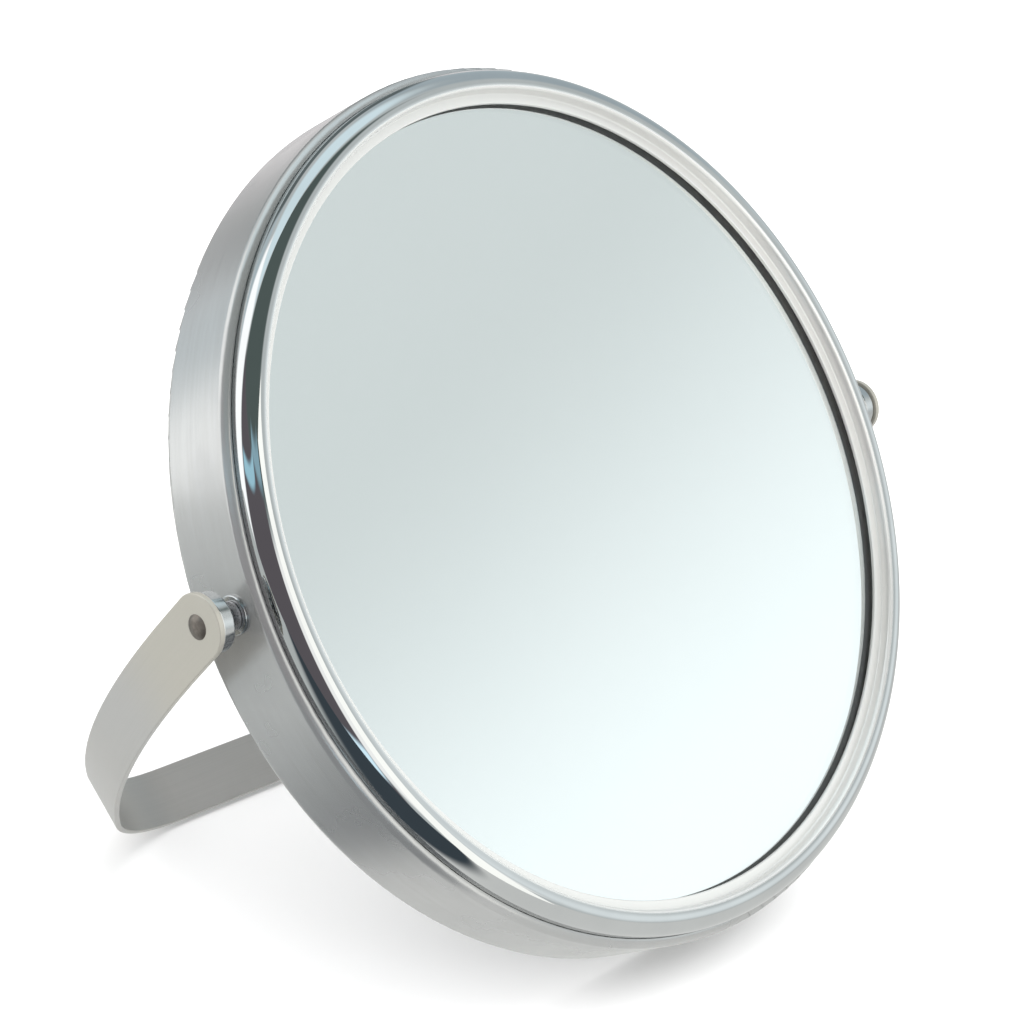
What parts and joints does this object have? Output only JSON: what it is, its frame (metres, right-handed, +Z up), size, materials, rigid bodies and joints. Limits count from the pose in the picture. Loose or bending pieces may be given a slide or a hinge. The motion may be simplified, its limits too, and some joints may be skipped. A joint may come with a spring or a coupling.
{
  "type": "free-standing shaving mirror",
  "caption": "Round double-sided shaving mirror in a shallow chrome drum, leaning back on a swinging D-shaped strip stand.",
  "frame": {"origin": "on the surface the mirror stands on, under the middle of its bounding box", "axes": "+X along the pivot line to the viewer's right, -Y towards the viewer whom the plain glass faces, +Z up"},
  "size_m": [0.1988, 0.1223, 0.159],
  "materials": {
    "case": "polished chrome-plated steel, a little brushed round the band",
    "bezel": "bright polished chrome",
    "clear_glass": "clear float glass",
    "silvering": "silver coat behind glass",
    "foam": "closed-cell foam",
    "board": "pressed fibre board",
    "spacer": "moulded plastic",
    "gasket": "soft vinyl",
    "bush": "turned and plated",
    "plate": "zinc-plated steel",
    "strip": "satin nickel-plated steel strip",
    "rivet": "formed steel rivet",
    "stud": "turned and chrome plated",
    "washer": "steel",
    "spring_steel": "spring steel",
    "nut": "zinc-plated steel"
  },
  "bodies": {
    "head": {"case": "case", "front_bezel": "bezel", "front_glass": "clear_glass", "front_silvering": "silvering", "foam_pad": "foam", "core_plate": "board", "spacer_ring": "spacer", "magnifying_silvering": "silvering", "magnifying_glass": "clear_glass", "back_gasket": "gasket", "pivot_bush_right": "bush", "pivot_bush_left": "bush", "reinforcing_plate_right": "plate", "reinforcing_plate_left": "plate"},
    "stand": {"stand_strip": "strip", "rivets": "rivet", "friction_washers": "washer", "spring_washers": "spring_steel", "pivot_nuts": "nut", "pivot_stud_right": "stud", "pivot_stud_left": "stud"}
  },
  "joints": [
    {"name": "stand_hinge", "type": "hinge", "parent": "head", "child": "stand", "pos_m": [0, -0.00343, 0.08042], "axis": [1, 0, 0], "continuous": true}
  ]
}
